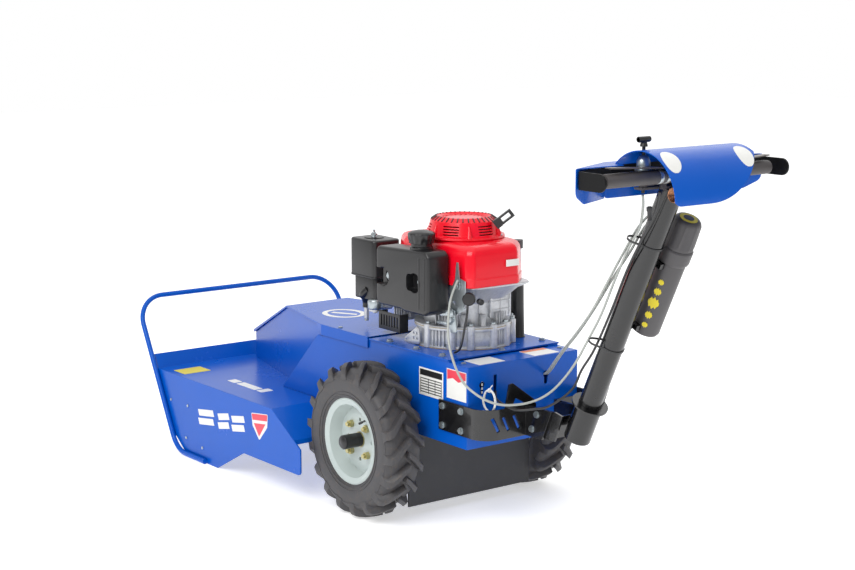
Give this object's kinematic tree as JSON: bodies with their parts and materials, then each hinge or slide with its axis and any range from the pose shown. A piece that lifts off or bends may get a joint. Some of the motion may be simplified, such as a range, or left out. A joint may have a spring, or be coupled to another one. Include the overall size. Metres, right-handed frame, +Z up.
{
  "type": "walk-behind brush mower",
  "caption": "Walk-behind brush mower: vertical-shaft engine, belt-driven cutter deck with a brush bar, two lugged drive wheels and a single-mast tiller handle.",
  "frame": {"origin": "centre of the bounding box at ground level", "axes": "+X forward towards the deck, +Y to the machine's left, +Z up"},
  "size_m": [2.083, 0.734, 1.0495],
  "materials": {
    "blue_paint": "glossy powder coat",
    "black_paint": "glossy enamel",
    "black_rubber": "matte",
    "tyre_rubber": "matte",
    "white_paint": "satin",
    "zinc_steel": "zinc plated",
    "grip_grey": "fine textured",
    "lever_steel": "satin",
    "spring_steel": "copper coloured wire",
    "grey_plastic": "fine textured",
    "cable_jacket": "smooth",
    "cast_aluminium": "as cast",
    "black_plastic": "moulded",
    "red_paint": "glossy",
    "dark_steel": "oiled"
  },
  "bodies": {
    "machine": {"main_frame": "blue_paint", "engine_plate": "blue_paint", "rear_cover": "blue_paint", "belt_hood": "blue_paint", "belt_tunnel": "blue_paint", "cutting_deck": "blue_paint", "brush_bar": "blue_paint", "handle_shield": "blue_paint", "flap_bracket": "black_paint", "rear_guard": "black_paint", "mast_socket": "black_paint", "mast_tube": "black_paint", "handle_guard": "black_paint", "document_clamps": "black_paint", "rear_flap": "black_rubber", "blade_belt": "black_rubber", "drive_belt": "black_rubber", "frame_bolts": "zinc_steel", "throttle_bracket": "zinc_steel", "handlebar": "grip_grey", "lever_spring": "spring_steel", "document_tube": "grey_plastic", "throttle_cable": "cable_jacket", "blade_cable": "cable_jacket", "drive_cables": "cable_jacket", "cable_ties": "cable_jacket", "crankcase": "cast_aluminium", "cylinder_head": "cast_aluminium", "carburettor": "cast_aluminium", "spindle_housing": "cast_aluminium", "transaxle": "cast_aluminium", "cylinder_baffle": "black_plastic", "fuel_tank": "black_plastic", "air_cleaner": "black_plastic", "fan_shroud": "red_paint", "recoil_housing": "red_paint", "muffler": "dark_steel", "oil_filler": "dark_steel"},
    "left_wheel": {"axle_left": "dark_steel", "hub_left": "zinc_steel", "rim_left": "white_paint", "tyre_left": "tyre_rubber"},
    "right_wheel": {"axle_right": "dark_steel", "hub_right": "zinc_steel", "rim_right": "white_paint", "tyre_right": "tyre_rubber"},
    "cutter": {"blade_spindle": "zinc_steel", "cutter_blade": "dark_steel"},
    "crank": {"crankshaft": "zinc_steel", "engine_pulley": "dark_steel"},
    "transaxle_input": {"transaxle_pulley": "dark_steel"},
    "idler": {"idler_arm": "zinc_steel"},
    "blade_lever": {"blade_lever": "lever_steel"},
    "drive_lever": {"drive_lever": "lever_steel"},
    "throttle_knob": {"throttle_knob": "black_plastic"},
    "throttle_lever": {"throttle_lever": "zinc_steel"},
    "starter_grip": {"starter_grip": "black_plastic"},
    "fuel_cap": {"fuel_cap": "black_plastic"},
    "document_cap": {"document_cap": "grey_plastic"},
    "dipstick": {"dipstick": "grey_plastic"}
  },
  "joints": [
    {"name": "left_wheel_spin", "type": "hinge", "parent": "machine", "child": "left_wheel", "pos_m": [-0.039, 0.267, 0.205], "axis": [0, 1, 0], "continuous": true},
    {"name": "right_wheel_spin", "type": "hinge", "parent": "machine", "child": "right_wheel", "pos_m": [-0.039, -0.267, 0.205], "axis": [0, 1, 0], "continuous": true},
    {"name": "cutter_spin", "type": "hinge", "parent": "machine", "child": "cutter", "pos_m": [0.521, 0, 0.2], "axis": [0, 0, 1], "continuous": true},
    {"name": "crank_spin", "type": "hinge", "parent": "machine", "child": "crank", "pos_m": [-0.119, 0, 0.5], "axis": [0, 0, 1], "continuous": true},
    {"name": "transaxle_input_spin", "type": "hinge", "parent": "machine", "child": "transaxle_input", "pos_m": [0.023, 0, 0.285], "axis": [0, 0, 1], "continuous": true},
    {"name": "blade_lever_squeeze", "type": "hinge", "parent": "machine", "child": "blade_lever", "pos_m": [-0.93, 0.062, 0.987], "axis": [1, 0, 0], "range_deg": [-3, 0], "stiffness_Nm_per_rad": 2, "springref_deg": 11.46},
    {"name": "idler_swing", "type": "hinge", "parent": "machine", "child": "idler", "pos_m": [0.146, -0.15, 0.35], "axis": [0, 0, 1], "range_deg": [0, 6]},
    {"name": "drive_lever_squeeze", "type": "hinge", "parent": "machine", "child": "drive_lever", "pos_m": [-0.93, -0.062, 0.987], "axis": [-1, 0, 0], "range_deg": [-3, 0], "stiffness_Nm_per_rad": 2, "springref_deg": 11.46},
    {"name": "throttle_pull", "type": "slide", "parent": "machine", "child": "throttle_knob", "axis": [0, 0, 1], "range_m": [0, 0.03]},
    {"name": "throttle_lever_turn", "type": "hinge", "parent": "machine", "child": "throttle_lever", "pos_m": [-0.252, 0.1255, 0.626], "axis": [0, 1, 0], "range_deg": [0, 40]},
    {"name": "starter_pull", "type": "slide", "parent": "machine", "child": "starter_grip", "axis": [-0.4742, -0.6293, 0.6157], "range_m": [0, 0.5], "stiffness_N_per_m": 30, "springref_m": -0.05},
    {"name": "fuel_cap_turn", "type": "hinge", "parent": "machine", "child": "fuel_cap", "pos_m": [-0.136, 0.152, 0.72], "axis": [0, 0, 1], "range_deg": [0, 90]},
    {"name": "document_cap_turn", "type": "hinge", "parent": "machine", "child": "document_cap", "pos_m": [-0.82706, -0.0765, 0.77922], "axis": [-0.4297, 0, 0.9029], "range_deg": [0, 90]},
    {"name": "dipstick_turn", "type": "hinge", "parent": "machine", "child": "dipstick", "pos_m": [-0.166, -0.146, 0.69], "axis": [0, 0, 1], "range_deg": [0, 90]}
  ],
  "couplings": [
    {"joint": "crank_spin", "follows": "cutter_spin", "ratio": 1.5625},
    {"joint": "transaxle_input_spin", "follows": "cutter_spin", "ratio": 1.1875},
    {"joint": "idler_swing", "follows": "blade_lever_squeeze", "ratio": -2},
    {"joint": "throttle_lever_turn", "follows": "throttle_pull", "rad_per_m": 23}
  ]
}
